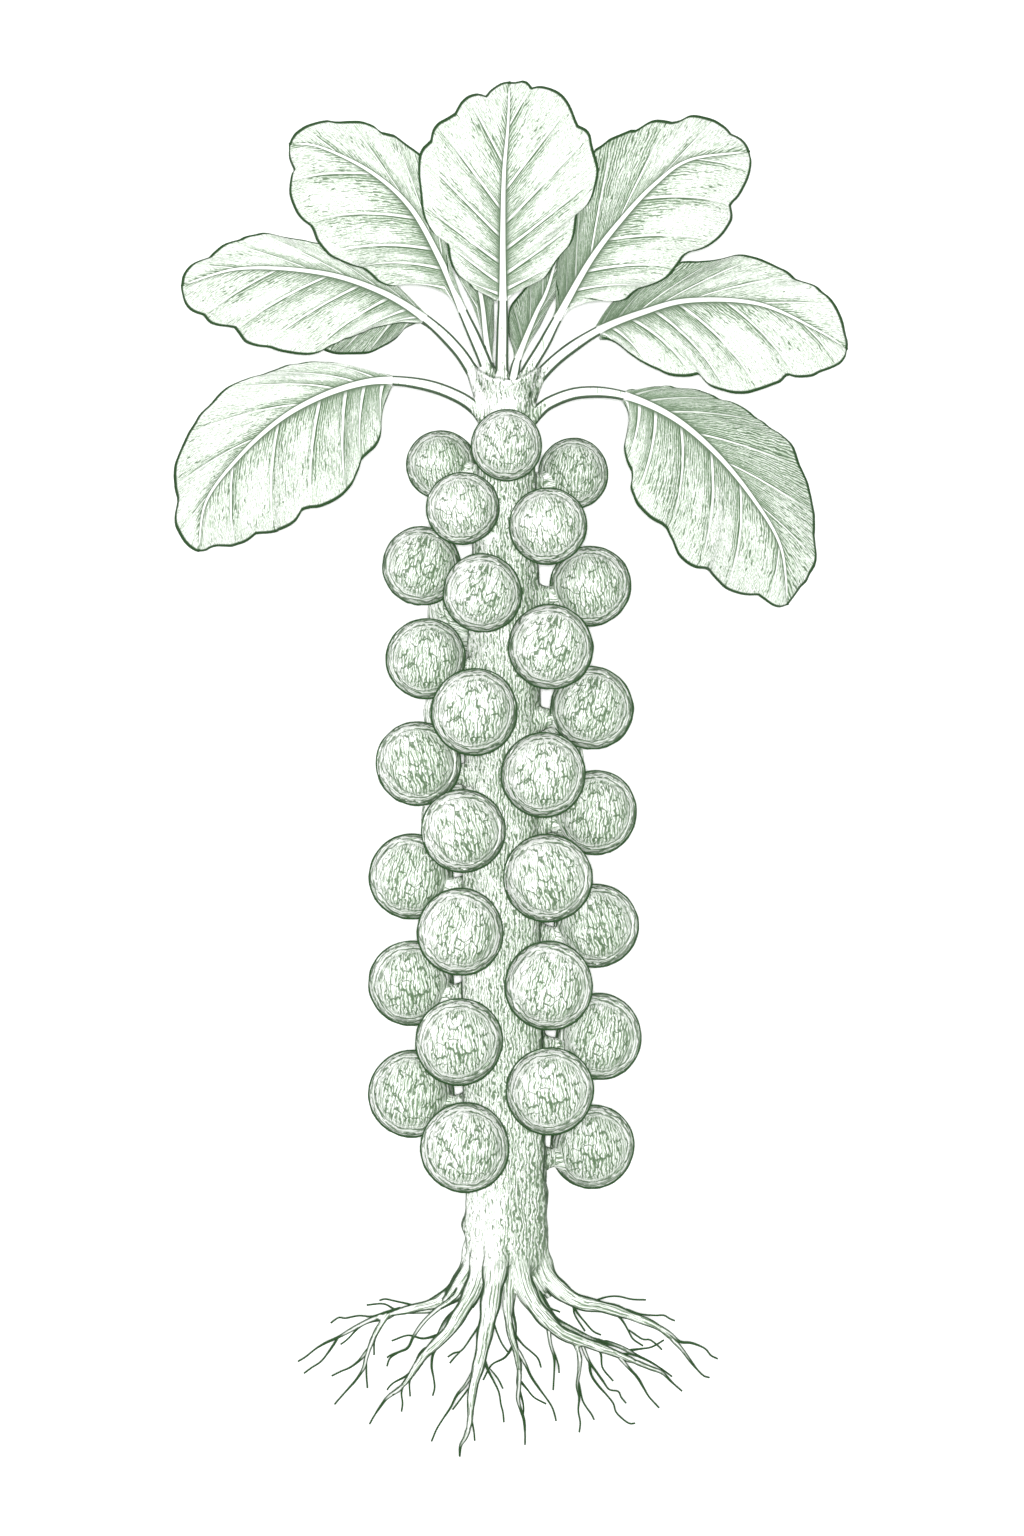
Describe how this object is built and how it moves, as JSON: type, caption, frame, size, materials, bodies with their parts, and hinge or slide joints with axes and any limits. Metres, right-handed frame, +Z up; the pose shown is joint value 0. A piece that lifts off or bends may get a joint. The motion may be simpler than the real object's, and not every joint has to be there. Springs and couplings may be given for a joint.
{
  "type": "brussels sprout plant",
  "caption": "Pulled brussels sprout plant lying on its back: thick stem packed with round wrapped sprouts, lobed crown leaves and forked roots.",
  "frame": {"origin": "bottom centre of the bounding box, on the surface the plant lies on", "axes": "+Y along the stem from roots to leaves, +Z up from the surface, +X across"},
  "size_m": [0.3073, 0.6119, 0.1159],
  "materials": {
    "stem": "pale ribbed green stalk, matt",
    "root": "pale cream-green root, matt",
    "leaf": "waxy pale sage leaf with near-white veins",
    "sprout": "waxy pale green wrapped leaves with a fine vein net"
  },
  "bodies": {
    "root": {"leaf_centre": "leaf", "leaf_inner_left": "leaf", "leaf_inner_right": "leaf", "leaf_lower_left": "leaf", "leaf_lower_right": "leaf", "leaf_middle_left": "leaf", "leaf_middle_right": "leaf", "leaf_rear_left": "leaf", "leaf_rear_right": "leaf", "leaf_upper_left": "leaf", "leaf_upper_right": "leaf", "roots": "root", "sprout_back_left_1": "sprout", "sprout_back_left_2": "sprout", "sprout_back_left_3": "sprout", "sprout_back_left_4": "sprout", "sprout_back_left_5": "sprout", "sprout_back_left_6": "sprout", "sprout_back_left_7": "sprout", "sprout_back_right_1": "sprout", "sprout_back_right_2": "sprout", "sprout_back_right_3": "sprout", "sprout_back_right_4": "sprout", "sprout_back_right_5": "sprout", "sprout_front_left_1": "sprout", "sprout_front_left_2": "sprout", "sprout_front_left_3": "sprout", "sprout_front_left_4": "sprout", "sprout_front_left_5": "sprout", "sprout_front_left_6": "sprout", "sprout_front_left_7": "sprout", "sprout_front_right_1": "sprout", "sprout_front_right_2": "sprout", "sprout_front_right_3": "sprout", "sprout_front_right_4": "sprout", "sprout_front_right_5": "sprout", "sprout_front_right_6": "sprout", "sprout_left_1": "sprout", "sprout_left_2": "sprout", "sprout_left_3": "sprout", "sprout_left_4": "sprout", "sprout_left_5": "sprout", "sprout_left_6": "sprout", "sprout_left_7": "sprout", "sprout_right_1": "sprout", "sprout_right_2": "sprout", "sprout_right_3": "sprout", "sprout_right_4": "sprout", "sprout_right_5": "sprout", "sprout_right_6": "sprout", "sprout_right_7": "sprout", "sprout_top_1": "sprout", "stem": "stem"}
  },
  "joints": []
}
